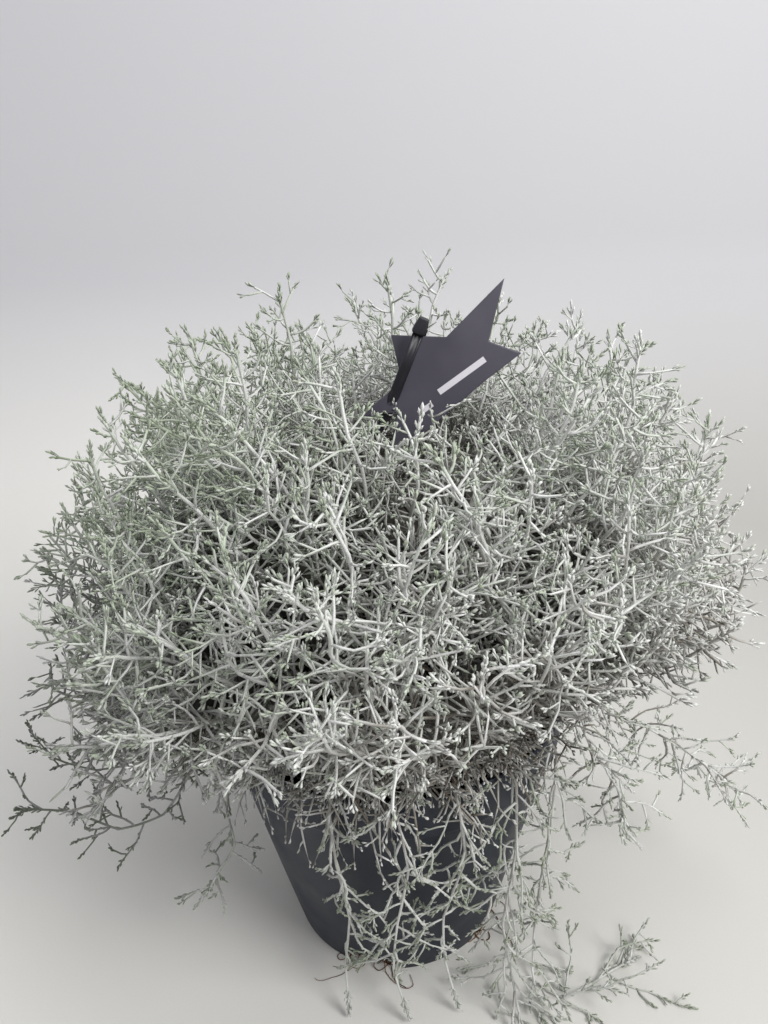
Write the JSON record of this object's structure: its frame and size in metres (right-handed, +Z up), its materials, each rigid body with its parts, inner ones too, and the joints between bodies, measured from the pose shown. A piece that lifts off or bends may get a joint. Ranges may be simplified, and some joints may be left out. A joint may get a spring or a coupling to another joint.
{
  "type": "potted cushion bush",
  "caption": "Large dome of silver-white, wide-branched felted stems in a round tapered nursery pot, with trailing stems over the rim and a blank star tag on a stake.",
  "frame": {"origin": "centre of the pot's underside, on the surface that the pot stands on", "axes": "+Z up along the pot's axis; the side with the long trailing stems faces -Y"},
  "size_m": [0.5251, 0.4777, 0.4499],
  "materials": {
    "pot_plastic": "moulded matte slate-grey plastic with fine scuffs",
    "soil": "damp dark peat soil, crumbly",
    "silver_leaf": "silver-white felt of fine hairs on thin stems, greyer green at the tips",
    "root": "thin dry brown roots",
    "tag_card": "smooth matte coated card, dark grey with a purple tinge",
    "stake_plastic": "satin black plastic"
  },
  "bodies": {
    "root": {"pot": "pot_plastic", "soil": "soil", "stem_01": "silver_leaf", "stem_02": "silver_leaf", "stem_03": "silver_leaf", "stem_04": "silver_leaf", "stem_05": "silver_leaf", "stem_06": "silver_leaf", "stem_07": "silver_leaf", "stem_08": "silver_leaf", "stem_09": "silver_leaf", "stem_10": "silver_leaf", "stem_11": "silver_leaf", "stem_12": "silver_leaf", "stem_13": "silver_leaf", "stem_14": "silver_leaf", "stem_15": "silver_leaf", "stem_16": "silver_leaf", "stem_17": "silver_leaf", "stem_18": "silver_leaf", "stem_19": "silver_leaf", "stem_20": "silver_leaf", "stem_21": "silver_leaf", "stem_22": "silver_leaf", "stem_23": "silver_leaf", "stem_24": "silver_leaf", "stem_25": "silver_leaf", "stem_26": "silver_leaf", "trail_01": "silver_leaf", "trail_02": "silver_leaf", "trail_03": "silver_leaf", "trail_04": "silver_leaf", "trail_05": "silver_leaf", "trail_06": "silver_leaf", "trail_07": "silver_leaf", "trail_08": "silver_leaf", "trail_09": "silver_leaf", "trail_10": "silver_leaf", "trail_11": "silver_leaf", "trail_12": "silver_leaf", "roots_front": "root", "roots_right": "root", "tag": "tag_card", "tag_stake": "stake_plastic"}
  },
  "joints": []
}
